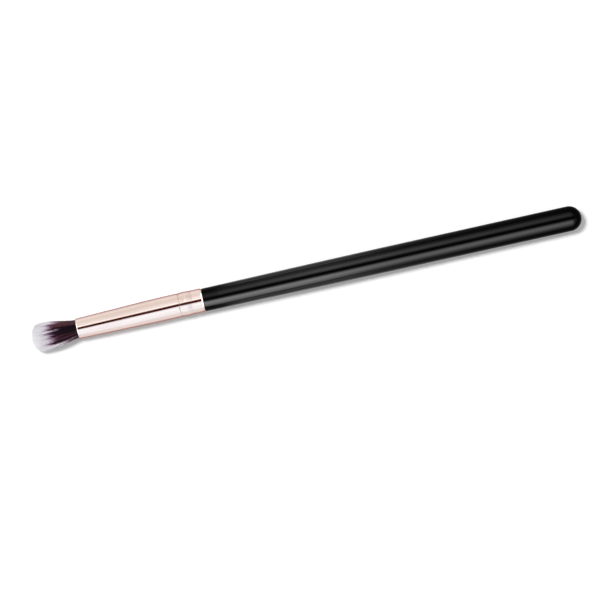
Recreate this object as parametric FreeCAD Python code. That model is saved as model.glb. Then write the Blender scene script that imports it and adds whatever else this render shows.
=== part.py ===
import FreeCAD, Part
import math
import os

# Eyeshadow brush lying on a table: tuft towards -X, tail towards +X, table at Z = 0.
# All sizes are in millimetres.

# What shows along the brush: tuft, ferrule, handle
tuft_length = 14.4
ferrule_length = 40.2
handle_length = 120.4

# Ferrule: a thin metal cone, then a straight stretch crimped on to the handle
mouth_diameter = 6.38
crimp_diameter = 7.42
straight_length = 16.2
wall = 0.3
front_groove_from_end = 7.45
front_groove_width = 0.7
front_groove_depth = 0.1
rear_groove_from_end = 3.75
rear_groove_width = 1.0
rear_groove_depth = 0.05
bead_rise = 0.09

# Handle: lacquered wood, swelling to a straight stretch with a round tail
front_diameter = 7.25
rear_diameter = 7.85
swell_length = 60.0
shoulder_round = 0.25
tenon_length = 15.0
tenon_chamfer = 0.8
glue_film = 0.1

# Tuft: round where it leaves the ferrule, a little oval at its belly
belly_width = 9.0
belly_from_mouth = 10.9
pivot_from_mouth = 3.0
stub_length = 1.2
stub_diameter = 5.98
heel_radius = 3.1
heel_clearance = 0.15
# How far out along the tuft, with the half width and half height there
flank_sections = ((pivot_from_mouth, 3.3, 3.2), (5.0, 3.78, 3.55), (7.5, 4.2, 3.8))

# Inside the ferrule: how deep the fibres go, and the neck, thread and resin at their root ends
fibre_depth = 12.5
neck_length = 3.0
neck_slope = 1.5
neck_diameter = 4.6
thread_from_root = 0.7
thread_width = 1.6
thread_height = 0.3
resin_behind_root = 2.5

# Sizes that follow from those above
total_length = tuft_length + ferrule_length + handle_length
mouth_x = tuft_length - total_length / 2
axis_height = rear_diameter / 2
lip = wall / 2
tail_radius = rear_diameter / 2
crimp_radius = crimp_diameter / 2
cone_end = ferrule_length - straight_length
front_groove = ferrule_length - front_groove_from_end
rear_groove = ferrule_length - rear_groove_from_end
groove_start = front_groove - front_groove_width / 2
bead_start = front_groove + front_groove_width / 2
bead_end = rear_groove - rear_groove_width / 2
flat_start = rear_groove + rear_groove_width / 2
tenon_start = ferrule_length - tenon_length
tenon_depth = wall + glue_film
neck_radius = neck_diameter / 2
neck_front = fibre_depth - neck_length
resin_front = neck_front - neck_slope
resin_back = fibre_depth + resin_behind_root
thread_back = fibre_depth - thread_from_root
thread_front = thread_back - thread_width
thread_top = neck_radius + thread_height
socket_radius = heel_radius + heel_clearance


def point(along, radius):
    """A point of an outline: back from the ferrule mouth, and out from the brush's axis."""
    return FreeCAD.Vector(mouth_x + along, 0, axis_height + radius)


def line(a, b):
    return Part.LineSegment(point(*a), point(*b)).toShape()


def arc(a, middle, b):
    return Part.Arc(point(*a), point(*middle), point(*b)).toShape()


def chain(points):
    """Straight edges through these points."""
    return [line(a, b) for a, b in zip(points, points[1:])]


def turned(edges):
    """The solid that an outline makes when it is turned about the brush's axis."""
    face = Part.Face(Part.Wire(edges))
    return face.revolve(point(0, 0), FreeCAD.Vector(1, 0, 0), 360)


def tube_radius(along):
    """Outer radius of the ferrule in front of its grooves: on its cone, then straight."""
    part = min(along / cone_end, 1)
    return mouth_diameter / 2 + (crimp_radius - mouth_diameter / 2) * part


def bore_radius(along):
    return tube_radius(along) - wall


def crimped(depth, start, stop):
    """Edges along the ferrule at this depth below its outside, with the two grooves and the bead."""
    base = crimp_radius - depth
    bead_top = ((bead_start + bead_end) / 2, base + bead_rise)
    tube = [along for along in (start, cone_end, groove_start) if along >= start]
    return chain([(along, tube_radius(along) - depth) for along in tube]) + [
        arc((groove_start, base), (front_groove, base - front_groove_depth), (bead_start, base)),
        arc((bead_start, base), bead_top, (bead_end, base)),
        arc((bead_end, base), (rear_groove, base - rear_groove_depth), (flat_start, base)),
        line((flat_start, base), (stop, base)),
    ]


def ferrule():
    back = ferrule_length - lip
    mouth_middle = tube_radius(lip) - lip
    edges = crimped(0, lip, back)
    edges.append(arc((back, crimp_radius), (ferrule_length, crimp_radius - lip), (back, crimp_radius - wall)))
    edges += reversed(crimped(wall, lip, back))
    edges.append(arc((lip, bore_radius(lip)), (0, mouth_middle), (lip, tube_radius(lip))))
    return turned(edges)


def handle():
    front = front_diameter / 2
    chamfer_end = tenon_start + tenon_chamfer
    tenon_front = tube_radius(tenon_start) - tenon_depth - tenon_chamfer
    tenon_back = crimp_radius - tenon_depth
    shoulder = ferrule_length + shoulder_round
    swell_end = ferrule_length + swell_length
    tail = ferrule_length + handle_length
    bend = shoulder_round * (1 - math.sqrt(0.5))
    diagonal = tail_radius * math.sqrt(0.5)
    edges = chain([
        (tenon_start, 0),
        (tenon_start, tenon_front),
        (chamfer_end, tube_radius(chamfer_end) - tenon_depth),
    ])
    edges += crimped(tenon_depth, chamfer_end, ferrule_length)
    edges.append(line((ferrule_length, tenon_back), (ferrule_length, front - shoulder_round)))
    edges.append(arc(
        (ferrule_length, front - shoulder_round),
        (ferrule_length + bend, front - bend),
        (shoulder, front),
    ))
    edges += chain([(shoulder, front), (swell_end, tail_radius), (tail - tail_radius, tail_radius)])
    edges.append(arc(
        (tail - tail_radius, tail_radius),
        (tail - tail_radius + diagonal, diagonal),
        (tail, 0),
    ))
    edges.append(line((tail, 0), (tenon_start, 0)))
    return turned(edges)


def handle_glue():
    """The thin film of glue between the tenon and the ferrule."""
    front = tenon_start + tenon_chamfer
    back = ferrule_length - lip
    edges = crimped(wall, front, back)
    edges.append(line((back, crimp_radius - wall), (back, crimp_radius - tenon_depth)))
    edges += reversed(crimped(tenon_depth, front, back))
    edges.append(line((front, tube_radius(front) - tenon_depth), (front, bore_radius(front))))
    return turned(edges)


def held_fibres():
    """The fibres gripped in the ferrule, with the short stub that the free tuft bends in."""
    dish = socket_radius - pivot_from_mouth
    rim_from_pivot = pivot_from_mouth - stub_length
    rim = math.sqrt(socket_radius ** 2 - rim_from_pivot ** 2)
    half_turn = math.atan2(rim, rim_from_pivot) / 2
    between = (
        socket_radius * math.cos(half_turn) - pivot_from_mouth,
        socket_radius * math.sin(half_turn),
    )
    edges = [arc((dish, 0), between, (-stub_length, rim))]
    edges += chain([
        (-stub_length, rim),
        (-stub_length, stub_diameter / 2),
        (0, bore_radius(0)),
        (resin_front, bore_radius(resin_front)),
        (neck_front, neck_radius),
        (fibre_depth, neck_radius),
        (fibre_depth, 0),
        (dish, 0),
    ])
    return turned(edges)


def binding_thread():
    """The band of thread wound round the fibres' roots."""
    return turned(chain([
        (thread_front, neck_radius),
        (thread_back, neck_radius),
        (thread_back, thread_top),
        (thread_front, thread_top),
        (thread_front, neck_radius),
    ]))


def resin_plug():
    """The resin poured round and behind the tied roots."""
    return turned(chain([
        (resin_front, bore_radius(resin_front)),
        (resin_back, bore_radius(resin_back)),
        (resin_back, 0),
        (fibre_depth, 0),
        (fibre_depth, neck_radius),
        (thread_back, neck_radius),
        (thread_back, thread_top),
        (thread_front, thread_top),
        (thread_front, neck_radius),
        (neck_front, neck_radius),
        (resin_front, bore_radius(resin_front)),
    ]))


def oval(out, half_width, half_height):
    """An oval across the tuft, this far out from the ferrule mouth."""
    centre = point(-out, 0)
    side = centre + FreeCAD.Vector(0, half_width, 0)
    top = centre + FreeCAD.Vector(0, 0, half_height)
    return Part.Wire(Part.Ellipse(side, top, centre).toShape())


def half_ball(radius, centre, towards):
    return Part.makeSphere(radius, centre, FreeCAD.Vector(towards, 0, 0), 0, 90, 360)


def free_fibres():
    """The part of the tuft that bends, with a round heel about its pivot and a domed tip."""
    half_width = belly_width / 2
    belly = (belly_from_mouth, half_width, axis_height)
    flank = Part.makeLoft([oval(*size) for size in flank_sections + (belly,)], True, False)
    stretch = FreeCAD.Matrix()
    stretch.scale(tuft_length - belly_from_mouth, half_width, axis_height)
    dome = half_ball(1, FreeCAD.Vector(0, 0, 0), -1).transformGeometry(stretch)
    dome.translate(point(-belly_from_mouth, 0))
    heel = half_ball(heel_radius, point(-pivot_from_mouth, 0), 1)
    return flank.fuse([dome, heel]).removeSplitter().Solids[0]


pieces = {
    "handle": handle(),
    "ferrule": ferrule(),
    "handle_glue": handle_glue(),
    "held_fibres": held_fibres(),
    "binding_thread": binding_thread(),
    "resin_plug": resin_plug(),
    "free_fibres": free_fibres(),
}

os.makedirs("parts", exist_ok=True)
for name, shape in pieces.items():
    box = shape.BoundBox
    print(name, shape.ShapeType, len(shape.Solids), shape.isValid(), round(shape.Volume, 3))
    print("  from", [round(v, 3) for v in (box.XMin, box.YMin, box.ZMin)])
    print("  to", [round(v, 3) for v in (box.XMax, box.YMax, box.ZMax)])
    shape.exportStep("parts/" + name + ".step")
pivot = point(-pivot_from_mouth, 0)
print("tuft pivot", [round(v, 3) for v in pivot])
print("straight stretch of the handle", round(mouth_x + ferrule_length + swell_length, 3),
      "to", round(total_length / 2 - tail_radius, 3))
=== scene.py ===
import bpy
import math
import random
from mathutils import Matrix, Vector


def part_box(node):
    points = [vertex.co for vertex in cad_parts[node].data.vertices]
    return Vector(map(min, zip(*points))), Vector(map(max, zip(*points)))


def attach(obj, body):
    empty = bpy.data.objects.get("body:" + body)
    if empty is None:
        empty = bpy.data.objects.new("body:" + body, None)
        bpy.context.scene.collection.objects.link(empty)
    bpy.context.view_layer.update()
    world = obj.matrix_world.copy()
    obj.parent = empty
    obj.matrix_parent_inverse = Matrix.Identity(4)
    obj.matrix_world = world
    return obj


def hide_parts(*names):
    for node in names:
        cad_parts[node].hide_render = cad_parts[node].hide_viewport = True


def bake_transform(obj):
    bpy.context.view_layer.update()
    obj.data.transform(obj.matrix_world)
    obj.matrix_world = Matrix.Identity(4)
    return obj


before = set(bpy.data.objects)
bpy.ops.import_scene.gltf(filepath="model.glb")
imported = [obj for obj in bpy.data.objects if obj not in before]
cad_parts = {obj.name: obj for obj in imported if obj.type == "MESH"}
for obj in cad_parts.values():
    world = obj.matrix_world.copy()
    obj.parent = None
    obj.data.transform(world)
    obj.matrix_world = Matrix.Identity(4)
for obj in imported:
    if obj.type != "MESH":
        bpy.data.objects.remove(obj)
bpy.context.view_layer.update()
scene = bpy.context.scene
scene.view_settings.view_transform = "Standard"

# where the CAD brush lies: tuft towards -X, tail towards +X, table at Z = 0
mm = 0.001
weldDistance = 0.002 * mm
handleLow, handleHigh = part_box("handle")
ferruleLow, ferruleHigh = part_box("ferrule")
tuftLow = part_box("free_fibres")[0]
axisZ = (handleLow[2] + handleHigh[2]) / 2
mouthX = ferruleLow[0]
ferruleEndX = ferruleHigh[0]
tipX = tuftLow[0]
tailX = handleHigh[0]
print("frame: mouth %.4f, ferrule end %.4f, axis height %.5f" % (mouthX, ferruleEndX, axisZ))


# in front of its crimp the ferrule points a trifle aside, and the tuft follows it:
# the place that it turns about, where it ends, and its angle in degrees
slant = {"place": mouthX + 23 * mm, "crimp": mouthX + 32.4 * mm, "angle": 0.55}


def slantAt(x):
    return (min(x, slant["crimp"]) - slant["place"]) * math.tan(math.radians(slant["angle"]))


def deselectAll():
    if bpy.context.mode != "OBJECT":
        bpy.ops.object.mode_set(mode="OBJECT")
    bpy.ops.object.select_all(action="DESELECT")


def turnedPiece(name, rings, sides):
    # a ring of points is drawn out and resized from station to station along the brush
    deselectAll()
    lastX, lastRadius = rings[0]
    bpy.ops.mesh.primitive_circle_add(
        vertices=sides, radius=lastRadius, location=(lastX, 0, axisZ), rotation=(0, math.pi / 2, 0))
    piece = bpy.context.object
    piece.name = name
    piece.data.name = name
    bpy.ops.object.transform_apply(location=True, rotation=True, scale=True)
    bpy.ops.object.mode_set(mode="EDIT")
    bpy.ops.mesh.select_all(action="SELECT")
    for x, radius in rings[1:]:
        bpy.ops.mesh.extrude_region_move(TRANSFORM_OT_translate={"value": (x - lastX, 0, 0)})
        size = radius / lastRadius
        bpy.ops.transform.resize(value=(1, size, size), center_override=(x, 0, axisZ))
        lastX, lastRadius = x, radius
    return piece


def closeAndSmooth(piece, angle):
    bpy.ops.object.mode_set(mode="EDIT")
    bpy.ops.mesh.select_all(action="SELECT")
    bpy.ops.mesh.remove_doubles(threshold=weldDistance)
    bpy.ops.mesh.select_all(action="SELECT")
    bpy.ops.mesh.normals_make_consistent(inside=False)
    bpy.ops.object.mode_set(mode="OBJECT")
    bpy.ops.object.shade_smooth_by_angle(angle=math.radians(angle))


# node helpers

def newMaterial(name):
    material = bpy.data.materials.new(name)
    material.use_nodes = True
    return material, material.node_tree, material.node_tree.nodes["Principled BSDF"]


def addNode(tree, kind, **settings):
    node = tree.nodes.new(kind)
    for key, value in settings.items():
        setattr(node, key, value)
    return node


def setInputs(node, **values):
    for key, value in values.items():
        node.inputs[key.replace("_", " ")].default_value = value
    return node


def noiseOn(tree, vector, stretch, scale, detail):
    # noise on object coordinates, drawn out along the axes by a mapping
    mapping = addNode(tree, "ShaderNodeMapping")
    mapping.inputs["Scale"].default_value = stretch
    tree.links.new(vector, mapping.inputs["Vector"])
    noise = setInputs(addNode(tree, "ShaderNodeTexNoise"), Scale=scale, Detail=detail)
    tree.links.new(mapping.outputs["Vector"], noise.inputs["Vector"])
    return noise.outputs["Fac"]


def remap(tree, value, fromLow, fromHigh, toLow, toHigh):
    node = addNode(tree, "ShaderNodeMapRange")
    setInputs(node, From_Min=fromLow, From_Max=fromHigh, To_Min=toLow, To_Max=toHigh)
    tree.links.new(value, node.inputs["Value"])
    return node.outputs["Result"]


def mixColours(tree, factor, a, b):
    node = addNode(tree, "ShaderNodeMix", data_type="RGBA")
    tree.links.new(factor, node.inputs["Factor"])
    for socket, colour in ((node.inputs[6], a), (node.inputs[7], b)):
        if isinstance(colour, tuple):
            socket.default_value = (*colour, 1)
        else:
            tree.links.new(colour, socket)
    return node.outputs[2]


def maths(tree, operation, a, b=0.0, clamp=False):
    node = addNode(tree, "ShaderNodeMath", operation=operation, use_clamp=clamp)
    for socket, value in zip(node.inputs, (a, b)):
        if isinstance(value, (int, float)):
            socket.default_value = value
        else:
            tree.links.new(value, socket)
    return node.outputs["Value"]


def objectCoords(tree):
    return addNode(tree, "ShaderNodeTexCoord").outputs["Object"]


def bumpFrom(tree, height, strength, distance):
    bump = setInputs(addNode(tree, "ShaderNodeBump"), Strength=strength, Distance=distance)
    tree.links.new(height, bump.inputs["Height"])
    return bump.outputs["Normal"]


def levelRamp(tree, value, stops):
    # level against a value, past the ends as at the ends
    brightest = max(level for place, level in stops)
    low, high = stops[0][0], stops[-1][0]
    ramp = addNode(tree, "ShaderNodeValToRGB")
    elements = ramp.color_ramp.elements
    for place, level in stops[1:-1]:
        elements.new((place - low) / (high - low))
    for element, (place, level) in zip(elements, stops):
        share = level / brightest
        element.color = (share, share, share, 1)
    tree.links.new(remap(tree, value, low, high, 0, 1), ramp.inputs["Fac"])
    scale = addNode(tree, "ShaderNodeVectorMath", operation="SCALE")
    scale.inputs["Scale"].default_value = brightest
    tree.links.new(ramp.outputs["Color"], scale.inputs[0])
    return scale.outputs["Vector"]


# handle: turned wood under black lacquer

handleShape = {
    "sides": 128,
    "tenonStart": handleLow[0],
    "tenonRadius": 3.1 * mm,
    "tenonNose": 0.75,  # share of that radius at the tenon's front end
    "tenonChamfer": 0.7 * mm,
    "frontRadius": 3.625 * mm,
    "rearRadius": (handleHigh[2] - handleLow[2]) / 2,
    "shoulderRound": 0.25 * mm,
    "shoulderSteps": 4,
    "swellLength": 60.0 * mm,
    "swellSteps": 12,
    "swellEase": 1.15,
    "straightSteps": 8,
    "tailSteps": 20,
    "smoothAngle": 40,
    "lacquer": ((0.0008, 0.0008, 0.001), (0.0022, 0.002, 0.0022)),
    "roughness": (0.08, 0.13),
    # along the brush: how glossy its edges stay,
    # and how far it may turn from the eye before it is that dull
    "edgeGloss": (
        (-0.031, 0.015), (-0.027, 0.02), (-0.024, 0.07), (-0.018, 0.11),
        (0.012, 0.11), (0.022, 0.06), (0.05, 0.018), (0.08, 0.006)),
    "fadeEnd": (
        (-0.031, 0.28), (-0.0275, 0.33), (-0.021, 0.43),
        (0.012, 0.43), (0.025, 0.35), (0.036, 0.32), (0.08, 0.295)),
    "fadeStart": 0.12,
    "fullGloss": 0.95,
}


def blackLacquer():
    material, tree, shader = newMaterial("blackLacquer")
    coords = objectCoords(tree)
    cloud = noiseOn(tree, coords, stretch=(0.3, 1, 1), scale=420, detail=3)
    colour = mixColours(tree, cloud, *handleShape["lacquer"])
    tree.links.new(colour, shader.inputs["Base Color"])
    smear = noiseOn(tree, coords, stretch=(0.12, 1, 1), scale=900, detail=4)
    rough = remap(tree, smear, 0.3, 0.7, *handleShape["roughness"])
    tree.links.new(rough, shader.inputs["Roughness"])
    peel = noiseOn(tree, coords, stretch=(0.6, 1, 1), scale=1100, detail=1)
    tree.links.new(bumpFrom(tree, peel, strength=0.1, distance=0.02 * mm), shader.inputs["Normal"])
    # the gloss fades where the lacquer turns away from the eye, most towards the tail
    split = addNode(tree, "ShaderNodeSeparateXYZ")
    tree.links.new(coords, split.inputs["Vector"])
    least = levelRamp(tree, split.outputs["X"], handleShape["edgeGloss"])
    fadeEnd = levelRamp(tree, split.outputs["X"], handleShape["fadeEnd"])
    facing = setInputs(addNode(tree, "ShaderNodeLayerWeight"), Blend=0.5).outputs["Facing"]
    left = maths(tree, "SUBTRACT", fadeEnd, facing)
    whole = maths(tree, "SUBTRACT", fadeEnd, handleShape["fadeStart"])
    share = maths(tree, "DIVIDE", left, whole, clamp=True)
    full = maths(tree, "MULTIPLY", share, handleShape["fullGloss"])
    tree.links.new(maths(tree, "MAXIMUM", full, least), shader.inputs["Specular IOR Level"])
    setInputs(shader, IOR=1.52)
    return material


def makeHandle():
    shape = handleShape
    front, rear = shape["frontRadius"], shape["rearRadius"]
    rounding = shape["shoulderRound"]
    swellEnd = ferruleEndX + shape["swellLength"]
    tailCentre = tailX - rear
    rings = [
        (shape["tenonStart"], shape["tenonNose"] * shape["tenonRadius"]),
        (shape["tenonStart"] + shape["tenonChamfer"], shape["tenonRadius"]),
        (ferruleEndX, shape["tenonRadius"]),
    ]
    for step in range(shape["shoulderSteps"] + 1):
        turn = step / shape["shoulderSteps"] * math.pi / 2
        along = rounding * (1 - math.cos(turn))
        rings.append((ferruleEndX + along, front - rounding * (1 - math.sin(turn))))
    swellStart = ferruleEndX + rounding
    for step in range(1, shape["swellSteps"] + 1):
        # the swell eases into the straight stretch
        part = step / shape["swellSteps"]
        rise = math.sin(part * math.pi / 2) ** shape["swellEase"]
        rings.append((swellStart + (swellEnd - swellStart) * part, front + (rear - front) * rise))
    for step in range(1, shape["straightSteps"] + 1):
        rings.append((swellEnd + (tailCentre - swellEnd) * step / shape["straightSteps"], rear))
    for step in range(1, shape["tailSteps"]):
        turn = step / shape["tailSteps"] * math.pi / 2
        rings.append((tailCentre + rear * math.sin(turn), rear * math.cos(turn)))
    piece = turnedPiece("lacquered_handle", rings, shape["sides"])
    bpy.ops.mesh.extrude_region_move(TRANSFORM_OT_translate={"value": (tailX - rings[-1][0], 0, 0)})
    bpy.ops.mesh.merge(type="CENTER")
    # the tenon's front end is capped
    bpy.ops.mesh.select_all(action="DESELECT")
    bpy.ops.object.mode_set(mode="OBJECT")
    frontRing = shape["tenonStart"] + weldDistance
    for vertex in piece.data.vertices:
        vertex.select = vertex.co.x < frontRing
    bpy.ops.object.mode_set(mode="EDIT")
    bpy.ops.mesh.edge_face_add()
    closeAndSmooth(piece, shape["smoothAngle"])
    piece.data.materials.append(blackLacquer())
    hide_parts("handle")
    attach(piece, "brush")
    print("handle:", len(piece.data.polygons), "faces")


makeHandle()


# ferrule: a thin drawn tube, tapered, and rolled into the handle with two grooves

ferruleShape = {
    "sides": 128,
    "mouthRadius": 3.19 * mm,
    "crimpRadius": 3.71 * mm,
    "coneLength": 24.0 * mm,
    "wall": 0.3 * mm,
    # place along, width and depth of each groove
    "grooves": ((32.75 * mm, 0.7 * mm, 0.1 * mm), (36.45 * mm, 1.0 * mm, 0.05 * mm)),
    "beadRise": 0.09 * mm,
    "grooveSteps": 8,
    "grooveEase": 1.5,
    # stations in front of the grooves, then one behind them and one in front of the rear rim
    "stations": (1.5 * mm, 8 * mm, 16 * mm, 23 * mm, 25 * mm, 32.3 * mm),
    "behindGrooves": 0.1 * mm,
    "beforeRim": 0.6 * mm,
    # how far in from the end, and how far down, for the rear rim; the mouth's is this share of it
    "rolledRim": (
        (0.02 * mm, 0.31 * mm), (0.09 * mm, 0.25 * mm), (0.14 * mm, 0.215 * mm),
        (0.5 * mm, 0.012 * mm), (0.53 * mm, 0.0)),
    "mouthRim": 0.35,
    "smoothAngle": 60,
    "metal": ((0.715, 0.592, 0.548), (0.775, 0.648, 0.602)),
    "roughness": (0.08, 0.13),
    # painted shade in the grooves, darkest on the far side: its colour, how much it covers and roughens,
    # and its share on top and at the least
    "grooveShadeColour": (0.35, 0.2, 0.14),
    "grooveShadeCover": 0.3,
    "grooveRoughness": 0.12,
    "grooveShadeOnTop": 0.5,
    "grooveShadeLeast": 0.3,
}


def roseGold():
    look = ferruleShape
    material, tree, shader = newMaterial("roseGoldMetal")
    coords = objectCoords(tree)
    tone = noiseOn(tree, coords, stretch=(0.25, 1, 1), scale=300, detail=3)
    colour = mixColours(tree, remap(tree, tone, 0.35, 0.65, 0, 1), *look["metal"])
    # painted shade in the grooves, darker on the far side, mixed into the metal's colour
    grooveShade = addNode(tree, "ShaderNodeAttribute", attribute_name="crimp").outputs["Fac"]
    cover = maths(tree, "MULTIPLY", grooveShade, look["grooveShadeCover"])
    colour = mixColours(tree, cover, colour, look["grooveShadeColour"])
    tree.links.new(colour, shader.inputs["Base Color"])
    # fine lines along the tube, as it was drawn
    lines = noiseOn(tree, coords, stretch=(0.02, 1, 1), scale=6000, detail=2)
    rough = remap(tree, lines, 0.3, 0.7, *look["roughness"])
    rough = maths(tree, "ADD", rough, maths(tree, "MULTIPLY", grooveShade, look["grooveRoughness"]))
    tree.links.new(rough, shader.inputs["Roughness"])
    tree.links.new(bumpFrom(tree, lines, strength=0.03, distance=0.01 * mm), shader.inputs["Normal"])
    setInputs(shader, Metallic=1.0, Specular_Tint=(0.3, 0.02, 0, 1))
    return material


def ferruleProfile(depth):
    # stations along the tube at this depth under its outside, from mouth to rear end
    shape = ferruleShape
    lip = shape["wall"] / 2
    length = ferruleEndX - mouthX

    def coneRadius(along):
        part = min(along / shape["coneLength"], 1)
        return shape["mouthRadius"] + (shape["crimpRadius"] - shape["mouthRadius"]) * part

    profile = []
    if depth == 0:
        # both rims are rolled in over their last half millimetre
        for along, drop in shape["rolledRim"]:
            place = shape["mouthRim"] * along
            profile.append((place, coneRadius(place) - shape["mouthRim"] * drop))
    else:
        profile.append((lip, coneRadius(lip)))
    profile += [(along, coneRadius(along)) for along in shape["stations"]]
    base = shape["crimpRadius"]
    steps = shape["grooveSteps"]
    beadStart = None
    for place, wide, deep in shape["grooves"]:
        start = place - wide / 2
        if beadStart is not None:
            for step in range(1, steps):
                part = step / steps
                rise = shape["beadRise"] * math.sin(part * math.pi)
                profile.append((beadStart + part * (start - beadStart), base + rise))
        for step in range(steps + 1):
            part = step / steps
            fall = deep * math.sin(part * math.pi) ** shape["grooveEase"]
            profile.append((start + part * wide, base - fall))
        beadStart = start + wide
    profile += [(beadStart + shape["behindGrooves"], base), (length - shape["beforeRim"], base)]
    if depth == 0:
        profile += [(length - along, base - drop) for along, drop in shape["rolledRim"][::-1]]
    else:
        profile.append((length - lip, base))
    return [(mouthX + along, radius - depth) for along, radius in profile]


def makeFerrule():
    shape = ferruleShape
    outside, inside = ferruleProfile(0), ferruleProfile(shape["wall"])
    rings = outside + inside[::-1] + outside[:1]
    piece = turnedPiece("crimped_ferrule", rings, shape["sides"])
    closeAndSmooth(piece, shape["smoothAngle"])
    # how deep in a groove each point lies, for the painted shade there, which is darkest on the far side
    crimp = piece.data.attributes.new("crimp", "FLOAT", "POINT")
    deepest = max(deep for place, wide, deep in shape["grooves"])
    for vertex, value in zip(piece.data.vertices, crimp.data):
        along = vertex.co.x - mouthX
        side = vertex.co.y / shape["crimpRadius"] + shape["grooveShadeOnTop"]
        side = min(max(side, shape["grooveShadeLeast"]), 1.0)
        value.value = side * max(deep / deepest * max(0.0, 1 - (2 * (along - place) / wide) ** 2)
                                 for place, wide, deep in shape["grooves"])
    for vertex in piece.data.vertices:
        x, y, z = vertex.co
        vertex.co = (x - slantAt(slant["place"] + y), y + slantAt(x), z)
    piece.data.materials.append(roseGold())
    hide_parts("ferrule")
    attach(piece, "brush")
    print("ferrule:", len(piece.data.polygons), "faces")


makeFerrule()


# tuft: some thousands of fine fibres, dark at the root and pale at the tip

tuftShape = {
    "seed": 41,
    "mouthRadius": 2.78 * mm,
    "bellyWidth": 4.5 * mm,
    "bellyHeight": 3.84 * mm,
    "bellyOut": 10.9 * mm,
    "length": mouthX - tipX - 0.15 * mm,  # a little short of the solid's
    "swell": 1.3,
    # how far the tuft leans aside, against how far out
    "lean": (
        (0, 0), (4 * mm, 0.19 * mm), (7 * mm, 0.19 * mm), (10 * mm, 0.06 * mm), (12.5 * mm, 0.17 * mm)),
    "sag": 0.9 * mm,
    "sagEase": 1.2,
    "bluntness": 2.45,
    "tableGap": 0.07 * mm,
}

fibreShape = {
    "radius": 0.058 * mm,
    "thickness": (0.8, 1.15),  # shares of that radius
    "taper": 0.75,
    "taperEase": 2.5,
    "leastLength": 2 * mm,
    "short": 0.3,  # how far fibres fall short on average, as a share of their spread
    "locks": 320,
    "lockPull": 0.32,
    "waves": (1.0, 2.2),
    "swing": (0.02 * mm, 0.07 * mm),
    "swingRise": 4,
}

rootOut = -1.5 * mm  # the roots start inside the ferrule's mouth

# fibres in each bundle: how many, from and to across the tuft, where they start,
# how their lengths and their tips spread, and how many rings each has
bundleShape = {
    "tuft_shell": (3500, 0.92, 1.0, rootOut, 0.25 * mm, 0.07 * mm, 10),
    "tuft_dome": (4200, 0.0, 0.92, 8 * mm, 0.25 * mm, 0.07 * mm, 7),
    "tuft_strays": (240, 0.9, 1.0, rootOut, 0.7 * mm, 0.22 * mm, 10),
}

coreShape = {
    "share": 0.94,
    "short": 0.8 * mm,
    "rings": 24,
    "ringEase": 1.6,
    "sides": 48,
    "smoothAngle": 60,
    "narrowest": 0.01,
    "strip": 20,
    "dye": 0.17,
}

dyeLook = {
    # the map has a strip for each shade, the last ones brown
    "strips": 64,
    "brownStrips": 16,
    "stripEdge": 0.1,
    # up the map: how far before the dye's reach it starts, its span, and the places of the colours between
    "before": 0.45,
    "span": 1.85,
    "places": (0.33, 0.385, 0.43, 0.485, 0.62),
    "purple": ((0.006, 0.0036, 0.0064), (0.0105, 0.0045, 0.0105), (0.16, 0.045, 0.13)),
    # brown: the shade of brown locks, and at the far rim painted light shining through the fibres
    "brown": ((0.055, 0.017, 0.023), (0.115, 0.038, 0.05), (0.26, 0.12, 0.16)),
    "pale": ((0.42, 0.265, 0.41), (0.8, 0.74, 0.82), (0.95, 0.93, 0.965), (0.98, 0.97, 0.985)),
    "shades": (0.86, 1.03),
    "roughness": (0.42, 0.6),
    # how far the dye reaches: in the least dyed lock, more in others, less at the sides, and by chance
    "reach": 0.155,
    "lockReach": 0.235,
    "nearSideCut": 0.17,
    "farSideCut": 0.22,
    "reachSpread": 0.055,
    "lockChance": 1.7,
    # pale fringe on the near side: from where, its share of the fibres, and their dye
    "fringeFrom": -0.73,
    "fringeShare": 0.68,
    "fringeReach": (-0.38, -0.05),
    # pale fibres elsewhere: their share, the smaller share past a place on the far side, and their dye
    "paleShare": 0.04,
    "farFrom": 0.45,
    "farPaleShare": 0.01,
    "paleReach": (-0.08, 0.12),
    # shares of brown fibres: at the far rim, where the brown is painted light shining through the fibres,
    # in brown locks and in the other locks
    "glowRimFrom": 0.62,
    "glowRimBrown": 0.75,
    "brownLocks": 0.6,
    "lockBrown": 0.6,
    "otherBrown": 0.05,
    "stripSpread": 4,
}


def tuftWidths(out):
    # half width and half height of the tuft, this far out from the ferrule's mouth
    shape = tuftShape
    part = min(max(out / shape["bellyOut"], 0.0), 1.0)
    rise = math.sin(part * math.pi / 2) ** shape["swell"]
    wide = shape["mouthRadius"] + (shape["bellyWidth"] - shape["mouthRadius"]) * rise
    high = shape["mouthRadius"] + (shape["bellyHeight"] - shape["mouthRadius"]) * rise
    return wide, high


def tuftMiddle(out):
    # the tuft follows the ferrule's slant and leans a little further, least at its belly
    lean = 0.0
    steps = tuftShape["lean"]
    for (low, before), (high, after) in zip(steps, steps[1:]):
        lean += (after - before) * min(max((out - low) / (high - low), 0.0), 1.0)
    return slantAt(mouthX - out) - lean


def sagAt(out, across):
    # how far the tuft's sides sag towards the table: across is 0 in its middle, 1 at its sides
    part = min(max(out / tuftShape["bellyOut"], 0.0), 1.0)
    return tuftShape["sag"] * part ** tuftShape["sagEase"] * across ** 2


def dyePlace(out, reach):
    # how far up the map a point of a fibre comes, from the dyed root to the bare tip
    place = (max(out, 0) / tuftShape["length"] - reach + dyeLook["before"]) / dyeLook["span"]
    return min(max(place, 0.0), 1.0)


def stripPlace(strip, share):
    # how far across the map, from one edge of a strip to the other
    edge = dyeLook["stripEdge"]
    return (strip + edge + (1 - 2 * edge) * share) / dyeLook["strips"]


def dyeRamp(tree, place, colours):
    ramp = addNode(tree, "ShaderNodeValToRGB")
    elements = ramp.color_ramp.elements
    for step in dyeLook["places"]:
        elements.new((step + dyeLook["before"]) / dyeLook["span"])
    for element, colour in zip(elements, colours):
        element.color = (*colour, 1)
    tree.links.new(place, ramp.inputs["Fac"])
    return ramp.outputs["Color"]


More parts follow.
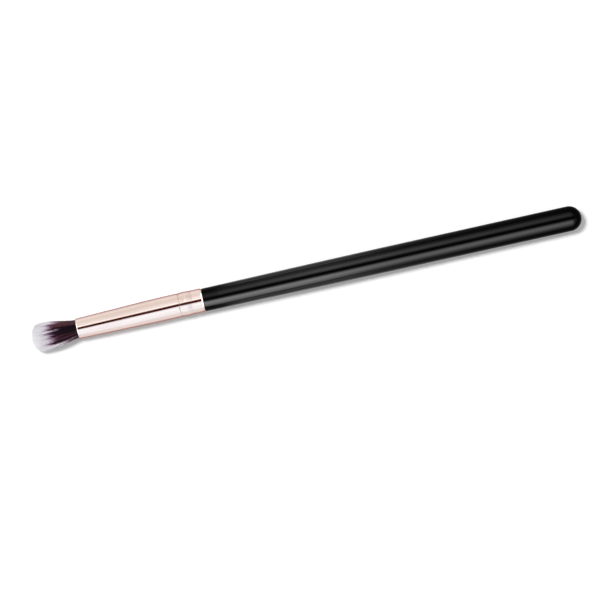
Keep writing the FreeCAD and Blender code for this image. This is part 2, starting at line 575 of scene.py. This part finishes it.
def fibreMaterial():
    material, tree, shader = newMaterial("twoToneFibre")
    uv = addNode(tree, "ShaderNodeUVMap", uv_map="OFBake").outputs["UV"]
    split = addNode(tree, "ShaderNodeSeparateXYZ")
    tree.links.new(uv, split.inputs["Vector"])
    # across the map each strip is one shade of fibre, and up the map the dye gives way to the bare tip
    strip = maths(tree, "FLOOR", maths(tree, "MULTIPLY", split.outputs["X"], dyeLook["strips"]))
    purple = dyeRamp(tree, split.outputs["Y"], dyeLook["purple"] + dyeLook["pale"])
    brown = dyeRamp(tree, split.outputs["Y"], dyeLook["brown"] + dyeLook["pale"])
    lastPurple = dyeLook["strips"] - dyeLook["brownStrips"] - 0.5
    colour = mixColours(tree, maths(tree, "GREATER_THAN", strip, lastPurple), purple, brown)
    shade = addNode(tree, "ShaderNodeTexWhiteNoise", noise_dimensions="1D")
    tree.links.new(strip, shade.inputs["W"])
    lightness = remap(tree, shade.outputs["Value"], 0, 1, *dyeLook["shades"])
    tint = addNode(tree, "ShaderNodeHueSaturation")
    tree.links.new(colour, tint.inputs["Color"])
    tree.links.new(lightness, tint.inputs["Value"])
    tree.links.new(tint.outputs["Color"], shader.inputs["Base Color"])
    rough = remap(tree, split.outputs["Y"], 0.35, 0.6, *dyeLook["roughness"])
    tree.links.new(rough, shader.inputs["Roughness"])
    setInputs(shader, Specular_IOR_Level=0.14)
    return material


def fibrePath(rng, spot, lock, start, reach, bend, rings):
    # points along one fibre: its spot across the tuft widens with the tuft and is drawn into its lock
    shape = fibreShape
    points = []
    wave = rng.uniform(0, 2 * math.pi)
    waves = rng.uniform(*shape["waves"])
    swing = rng.uniform(*shape["swing"])
    for step in range(rings):
        part = step / (rings - 1)
        out = start + (reach - start) * part
        wide, high = tuftWidths(out)
        up = max(out, 0) / tuftShape["length"]
        pull = shape["lockPull"] * up ** 2
        across = spot[0] + (lock[0] - spot[0]) * pull
        above = spot[1] + (lock[1] - spot[1]) * pull
        turn = wave + waves * 2 * math.pi * part
        away = bend * up ** 2
        swung = swing * min(up * shape["swingRise"], 1)
        height = axisZ + above * high - sagAt(out, across) + swung * math.cos(turn) + away[1]
        points.append(Vector((
            mouthX - out,
            across * wide + tuftMiddle(out) + swung * math.sin(turn) + away[0],
            max(height, tuftShape["tableGap"]),
        )))
    return points


def tuftOutward(point):
    # straight out of the tuft's outline from a point in it
    shape = tuftShape
    out = mouthX - point.x
    wide, high = tuftWidths(out)
    dome = max(out - shape["bellyOut"], 0) / (shape["length"] - shape["bellyOut"]) ** 2
    aside = point.y - tuftMiddle(out)
    above = point.z - axisZ + sagAt(out, aside / wide)
    return Vector((-dome, aside / wide ** 2, above / high ** 2)).normalized()


def fibreMesh(name, fibres):
    # each fibre is a three-sided tube that narrows to its tip, on its own strip of the map
    shape = fibreShape
    # on the map: the least height of a face, and the height of a tip
    leastHeight, tipHeight = 0.0005, 0.01
    points, faces, places, normals = [], [], [], []
    for path, thick, strip, dye in fibres:
        first = len(points)
        count = len(path)
        for number, point in enumerate(path):
            ahead = path[min(number + 1, count - 1)] - path[max(number - 1, 0)]
            side = ahead.cross(Vector((0, 0.3, 1))).normalized()
            over = ahead.cross(side).normalized()
            part = number / (count - 1)
            radius = thick * (1 - shape["taper"] * part ** shape["taperEase"])
            outward = tuftOutward(point)
            for turn in (0, 2 * math.pi / 3, 4 * math.pi / 3):
                corner = side * math.cos(turn) + over * math.sin(turn)
                points.append(point + corner * radius)
                normals.append((corner + outward).normalized())
        for number in range(count - 1):
            low = dyePlace(mouthX - path[number].x, dye)
            high = dyePlace(mouthX - path[number + 1].x, dye) + leastHeight
            for corner in range(3):
                following = (corner + 1) % 3
                here, there = first + number * 3, first + number * 3 + 3
                faces.append((here + corner, here + following, there + following, there + corner))
                left = stripPlace(strip, corner / 3)
                right = stripPlace(strip, (corner + 1) / 3)
                places += [(left, low), (right, low), (right, high), (left, high)]
        end = first + (count - 1) * 3
        faces.append((end, end + 1, end + 2))
        left, right, middle = (stripPlace(strip, share) for share in (0, 1, 0.5))
        places += [(left, high), (right, high), (middle, high - tipHeight)]
    mesh = bpy.data.meshes.new(name)
    mesh.from_pydata(points, [], faces)
    layer = mesh.uv_layers.new(name="OFBake")
    layer.data.foreach_set("uv", [min(max(value, 0.0), 1.0) for place in places for value in place])
    mesh.shade_smooth()
    # the fibres take the light as one soft tuft
    mesh.normals_split_custom_set_from_vertices(normals)
    piece = bpy.data.objects.new(name, mesh)
    scene.collection.objects.link(piece)
    return piece


def fibreShade(rng, spot, lockDye, lockShade):
    # a strip of the map and how far up the dye reaches, from where the fibre stands in the tuft
    look = dyeLook
    plain = look["strips"] - look["brownStrips"]
    sideCut = look["farSideCut"] if spot[0] > 0 else look["nearSideCut"]
    dye = look["reach"] + look["lockReach"] * lockDye - sideCut * spot[0] ** 2
    dye += rng.gauss(0, look["reachSpread"])
    paleShare = look["paleShare"] if spot[0] < look["farFrom"] else look["farPaleShare"]
    if spot[0] < look["fringeFrom"] and rng.random() < look["fringeShare"]:
        dye = rng.uniform(*look["fringeReach"])
    elif rng.random() < paleShare:
        dye = rng.uniform(*look["paleReach"])
    strip = int(lockShade * plain + rng.gauss(0, look["stripSpread"]))
    strip = min(max(strip, 0), plain - 1)
    brown = look["lockBrown"] if lockShade > look["brownLocks"] else look["otherBrown"]
    # at the far rim most fibres take a brown strip: painted light shining through them
    if rng.random() < (look["glowRimBrown"] if spot[0] > look["glowRimFrom"] else brown):
        strip = rng.randrange(plain, look["strips"])
    return strip, dye


def growFibres(rng, locks, count, innermost, outermost, start, spread, loose, rings):
    shape = tuftShape
    fibres = []
    for number in range(count):
        near = math.sqrt(rng.uniform(innermost ** 2, outermost ** 2))
        turn = rng.uniform(0, 2 * math.pi)
        spot = Vector((near * math.cos(turn), near * math.sin(turn)))
        lock, lockDye, lockShade = min(locks, key=lambda entry: (entry[0] - spot).length_squared)
        cap = (1 - min(near, 0.999) ** shape["bluntness"]) ** (1 / shape["bluntness"])
        reach = shape["bellyOut"] + (shape["length"] - shape["bellyOut"]) * cap
        reach += rng.gauss(-fibreShape["short"] * spread, spread)
        reach = max(reach, start + fibreShape["leastLength"])
        bend = Vector((rng.gauss(0, loose), rng.gauss(0, loose)))
        path = fibrePath(rng, spot, lock, start, reach, bend, rings)
        strip, dye = fibreShade(rng, spot, lockDye, lockShade)
        thick = fibreShape["radius"] * rng.uniform(*fibreShape["thickness"])
        fibres.append((path, thick, strip, dye))
    return fibres


def makeCore(material):
    # a filled middle, so that no light comes through between the fibres
    shape = tuftShape
    start, stop = rootOut, shape["length"] - coreShape["short"]
    lastRing = coreShape["rings"] - 1
    rings = []
    for step in range(coreShape["rings"]):
        part = 1 - (1 - step / lastRing) ** coreShape["ringEase"]
        out = start + (stop - start) * part
        cap = max(out - shape["bellyOut"], 0) / (stop - shape["bellyOut"])
        narrowed = max(1 - cap ** shape["bluntness"], coreShape["narrowest"]) ** (1 / shape["bluntness"])
        rings.append((mouthX - out, coreShape["share"] * tuftWidths(out)[1] * narrowed))
    core = turnedPiece("tuft_core", rings, coreShape["sides"])
    bpy.ops.mesh.edge_face_add()
    closeAndSmooth(core, coreShape["smoothAngle"])
    for vertex in core.data.vertices:
        out = mouthX - vertex.co.x
        wide, high = tuftWidths(out)
        across = vertex.co.y / high
        vertex.co.y = across * wide + tuftMiddle(out)
        vertex.co.z -= sagAt(out, across)
    layer = core.data.uv_layers.new(name="OFBake")
    for loop in core.data.loops:
        point = core.data.vertices[loop.vertex_index].co
        turn = math.atan2(point.z - axisZ, point.y) / (2 * math.pi) + 0.5
        dye = dyePlace(mouthX - point.x, coreShape["dye"])
        layer.data[loop.index].uv = (stripPlace(coreShape["strip"], turn), dye)
    core.data.materials.append(material)
    return core


def makeTuft():
    rng = random.Random(tuftShape["seed"])
    locks = []
    for number in range(fibreShape["locks"]):
        # spread evenly across the tuft, each with its own reach of dye and its own shade
        near = math.sqrt((number + 0.5) / fibreShape["locks"])
        turn = number * math.pi * (3 - math.sqrt(5))
        spot = Vector((near * math.cos(turn), near * math.sin(turn)))
        locks.append((spot, rng.betavariate(dyeLook["lockChance"], dyeLook["lockChance"]), rng.random()))
    bundles = {name: growFibres(rng, locks, *bundle) for name, bundle in bundleShape.items()}
    material = fibreMaterial()
    pieces = []
    for name, fibres in bundles.items():
        piece = fibreMesh(name, fibres)
        piece.data.materials.append(material)
        pieces.append(piece)
        print(name + ":", len(fibres), "fibres,", len(piece.data.polygons), "faces")
    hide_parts("free_fibres", "held_fibres")
    pieces.append(makeCore(material))
    for piece in pieces:
        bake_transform(piece)


makeTuft()


# what the ferrule hides: glue, thread and resin

def hiddenMaterial(name, dark, light, scale, rough):
    material, tree, shader = newMaterial(name)
    mottle = noiseOn(tree, objectCoords(tree), stretch=(1, 1, 1), scale=scale, detail=3)
    tree.links.new(mixColours(tree, mottle, dark, light), shader.inputs["Base Color"])
    spread = 0.08
    rough = remap(tree, mottle, 0.3, 0.7, rough - spread, rough + spread)
    tree.links.new(rough, shader.inputs["Roughness"])
    return material


# each one's material, its darker and lighter colour, the scale of its mottle and its roughness
hiddenFinishes = {
    "handle_glue": ("clearGlue", (0.7, 0.64, 0.5), (0.86, 0.82, 0.72), 900, 0.35),
    "binding_thread": ("cottonThread", (0.72, 0.68, 0.6), (0.9, 0.88, 0.82), 5000, 0.8),
    "resin_plug": ("amberResin", (0.55, 0.38, 0.16), (0.75, 0.58, 0.3), 700, 0.22),
}
for node, finish in hiddenFinishes.items():
    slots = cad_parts[node].data.materials
    slots.clear()
    slots.append(hiddenMaterial(*finish))
print("hidden pieces:", ", ".join(hiddenFinishes))


# table, light and camera

stageLook = {
    "imageTilt": 12.55,  # degrees
    "lens": 200,
    "sensor": 36,
    "frameWidth": 186.6 * mm,
    "imageSize": 600,
    "brushMiddle": (6.7, 22.9),  # pixels right of and above the middle of the picture
    "keyPower": 80.1,
    "keySize": 0.85,
    "keyFrom": (-0.975, 0.87, 3.0),
    "ambient": 0.32,
    "tableSize": 6,
    "tableGrey": 0.94,
    "tableGlow": 0.18,
}


def makeTable():
    deselectAll()
    bpy.ops.mesh.primitive_plane_add(size=stageLook["tableSize"])
    table = bpy.context.object
    table.name = "table"
    material, tree, shader = newMaterial("tableWhite")
    grey = stageLook["tableGrey"]
    setInputs(shader, Base_Color=(grey, grey, grey, 1), Roughness=0.9, Specular_IOR_Level=0.0)
    # it glows for the eye and in mirrors, and lights nothing
    light = addNode(tree, "ShaderNodeLightPath")
    seen = maths(tree, "MAXIMUM", light.outputs["Is Camera Ray"], light.outputs["Is Glossy Ray"])
    seen = maths(tree, "MAXIMUM", seen, light.outputs["Is Transmission Ray"])
    seen = maths(tree, "SUBTRACT", seen, light.outputs["Diffuse Depth"], clamp=True)
    glow = maths(tree, "MULTIPLY", seen, stageLook["tableGlow"])
    setInputs(shader, Emission_Color=(1, 1, 1, 1))
    tree.links.new(glow, shader.inputs["Emission Strength"])
    table.data.materials.append(material)


# what the studio dome shows: level against degrees across the brush from straight above,
# and a share of it along the brush from tuft (-1) to tail (1)
domeLook = {
    "wall": (
        ((-90, 0.06), (-13, 0.06), (-11, 0.003), (10.5, 0.003), (13, 0.06), (90, 0.06)),
        ((-1, 1), (0.012, 1), (0.04, 0.5), (0.07, 0.25), (1, 0.25))),
    "upperBox": (
        ((9, 0), (14, 0.07), (23, 0.345), (33, 0.55), (43, 0.415), (53, 0.21), (63, 0.08), (75, 0.025),
         (90, 0)),
        ((-1, 0.2), (-0.045, 0.35), (-0.032, 0.38), (-0.0265, 0.66), (-0.02, 1.36), (0, 1.52),
         (0.012, 1.38), (0.03, 0.95), (0.055, 0.7), (0.08, 0.52), (0.4, 0.4), (0.6, 0.1), (1, 0.05))),
    "edgeBox": (
        ((48, 0), (63, 0.08), (76, 0.2), (90, 0.2)),
        ((-1, 0), (-0.031, 0), (-0.026, 0.7), (-0.02, 1), (0.012, 1), (0.026, 0.2), (0.04, 0), (1, 0))),
    "lowerBox": (
        ((-90, 0.22), (-74, 0.36), (-62, 0.54), (-52, 0.875), (-42, 1.2), (-32, 1.2), (-23, 0.71),
         (-14, 0.19), (-10, 0)),
        ((-1, 0.5), (-0.5, 0.95), (-0.1, 1), (-0.028, 1), (-0.018, 1.09), (-0.004, 1.08), (0.01, 1),
         (0.05, 1), (0.08, 0.87), (0.4, 0.7), (0.6, 0.15), (1, 0.1))),
}


def joined(tree, operation, a, b):
    node = addNode(tree, "ShaderNodeVectorMath", operation=operation)
    tree.links.new(a, node.inputs[0])
    tree.links.new(b, node.inputs[1])
    return node.outputs["Vector"]


def makeWorld():
    # pale walls with a dark gap overhead, and three long soft boxes over the handle
    world = bpy.data.worlds.new("studio")
    scene.world = world
    world.use_nodes = True
    tree = world.node_tree
    split = addNode(tree, "ShaderNodeSeparateXYZ")
    tree.links.new(addNode(tree, "ShaderNodeTexCoord").outputs["Generated"], split.inputs["Vector"])
    turn = maths(tree, "ARCTAN2", split.outputs["Y"], split.outputs["Z"])
    across = maths(tree, "MULTIPLY", turn, 180 / math.pi)
    dome = None
    for steps, shares in domeLook.values():
        level = levelRamp(tree, across, steps)
        lit = joined(tree, "MULTIPLY", level, levelRamp(tree, split.outputs["X"], shares))
        dome = joined(tree, "ADD", dome, lit) if dome else lit
    light = addNode(tree, "ShaderNodeLightPath")
    mirrored = maths(tree, "MAXIMUM", light.outputs["Is Glossy Ray"], light.outputs["Is Transmission Ray"])
    mirrored = maths(tree, "SUBTRACT", mirrored, light.outputs["Diffuse Depth"], clamp=True)
    # none of it reaches the table by way of the metal
    unmirrored = maths(tree, "SUBTRACT", 1.0, light.outputs["Is Glossy Ray"])
    ambient = maths(tree, "MULTIPLY", unmirrored, stageLook["ambient"])
    colour = mixColours(tree, mirrored, ambient, dome)
    colour = mixColours(tree, light.outputs["Is Camera Ray"], colour, (1, 1, 1))
    tree.links.new(colour, tree.nodes["Background"].inputs["Color"])


def makeKeyLight():
    deselectAll()
    bpy.ops.object.light_add(type="AREA", location=stageLook["keyFrom"])
    key = bpy.context.object
    key.name = "keyLight"
    key.data.shape = "DISK"
    key.data.size = stageLook["keySize"]
    key.data.energy = stageLook["keyPower"]
    key.rotation_euler = (-key.location).to_track_quat("-Z", "Y").to_euler()
    key.visible_glossy = False


# boards that each light one piece alone: from and to in degrees across the brush,
# from and to along it, how bright, and their colour
boardLook = {
    "distance": 1.5,
    "crimped_ferrule": (
        (13.5, 72, -3, 3, 0.92, (1, 0.975, 0.955)),
        (72, 100, -3, 3, 1.0, (1, 0.93, 0.85)),
        (13.5, 26, -3, 3, 0.44, (0.88, 1, 0.98)),
        (-11, 13, -3, 3, 0.08, (1, 0.06, 0)),
        (-76, -60, -3, 3, 0.08, (1, 1, 1)),
        (-20, -10.5, -3, 3, 0.75, (0.95, 0.98, 1)),
        (-30, -20, -3, 3, 0.4, (0.95, 0.98, 1)),
        (-86, -10.5, -3, 3, 0.27, (0.13, 0.58, 1)),
        (-100, -48, -3, 3, 0.3, (1, 1, 1)),
        (-100, -57, -3, 3, 0.22, (1, 1, 1)),
        (-100, -67, -3, 3, 0.16, (1, 0.9, 0.8)),
    ),
    "lacquered_handle": (
        (-75, -24, -3, 0.03, 0.85, (1, 1, 1)),
    ),
    # the upright boards past both ends of the brush: how far off, wide, high and bright
    "ends": (3.0, 7.0, 2.5, 2.2),
    "firstEnd": 20,  # the number that they start from
}


def keepOffTable(light):
    # the light is seen straight in its piece, not by way of the table
    light.use_nodes = True
    tree = light.node_tree
    path = addNode(tree, "ShaderNodeLightPath")
    tree.links.new(maths(tree, "SUBTRACT", 1.0, path.outputs["Diffuse Depth"], clamp=True),
                   tree.nodes["Emission"].inputs["Strength"])


def addBoard(piece, number, location, rotation, long, wide, level, tint):
    deselectAll()
    bpy.ops.object.light_add(type="AREA", location=location, rotation=rotation)
    board = bpy.context.object
    board.name = "%s_board_%d" % (piece, number)
    board.data.shape = "RECTANGLE"
    board.data.size = long
    board.data.size_y = wide
    board.data.color = tint
    board.data.energy = math.pi * long * wide * level
    board.visible_camera = False
    board.light_linking.receiver_collection = bpy.data.collections[piece + "_light"]
    keepOffTable(board.data)


def makeBoards():
    away = boardLook["distance"]
    for piece in ("crimped_ferrule", "lacquered_handle"):
        group = bpy.data.collections.new(piece + "_light")
        group.objects.link(bpy.data.objects[piece])
        for number, (low, high, back, front, level, tint) in enumerate(boardLook[piece]):
            middle = math.radians((low + high) / 2)
            wide = 2 * away * math.tan(math.radians((high - low) / 2))
            place = ((back + front) / 2, away * math.sin(middle), axisZ + away * math.cos(middle))
            addBoard(piece, number, place, (-middle, 0, 0), front - back, wide, level, tint)
    far, wide, high, level = boardLook["ends"]
    for number, side in enumerate((-1, 1), boardLook["firstEnd"]):
        place = (side * far, 0, high / 2)
        addBoard("crimped_ferrule", number, place, (0, side * math.pi / 2, 0), high, wide, level, (1, 1, 1))
    forFerrule = len(boardLook["crimped_ferrule"]) + 2
    print("boards:", forFerrule, "for the ferrule,", len(boardLook["lacquered_handle"]), "for the handle")


tuftFill = {
    "from": (-0.75, -0.95, 0.22),
    "distance": 1.2,
    "size": 0.5,
    "level": 1.8,
}


def makeTuftFill():
    # from the near side, in place of the light that pale fibres pass on among themselves
    away = Vector(tuftFill["from"]).normalized() * tuftFill["distance"]
    deselectAll()
    bpy.ops.object.light_add(type="AREA", location=Vector((mouthX, 0, axisZ)) + away)
    fill = bpy.context.object
    fill.name = "tuftFill"
    fill.data.shape = "DISK"
    fill.data.size = tuftFill["size"]
    fill.data.energy = math.pi * tuftFill["level"] * tuftFill["distance"] ** 2
    fill.rotation_euler = (-away).to_track_quat("-Z", "Y").to_euler()
    fill.visible_glossy = False
    keepOffTable(fill.data)
    group = bpy.data.collections.new("tuft_light")
    for name in ("tuft_shell", "tuft_dome", "tuft_strays", "tuft_core"):
        group.objects.link(bpy.data.objects[name])
    fill.light_linking.receiver_collection = group


def makeCamera():
    look = stageLook
    tilt = math.radians(look["imageTilt"])
    right = Vector((math.cos(tilt), -math.sin(tilt), 0))
    up = Vector((math.sin(tilt), math.cos(tilt), 0))
    pixel = look["frameWidth"] / look["imageSize"]
    aside, above = look["brushMiddle"]
    centre = -(right * aside + up * above) * pixel
    deselectAll()
    bpy.ops.object.camera_add(rotation=(0, 0, -tilt))
    camera = bpy.context.object
    camera.data.lens = look["lens"]
    camera.data.sensor_width = look["sensor"]
    distance = look["frameWidth"] * camera.data.lens / camera.data.sensor_width
    camera.location = (centre.x, centre.y, axisZ + distance)
    scene.camera = camera


makeTable()
makeWorld()
makeKeyLight()
makeBoards()
makeTuftFill()
makeCamera()
print("stage: table, studio dome, key light, camera")
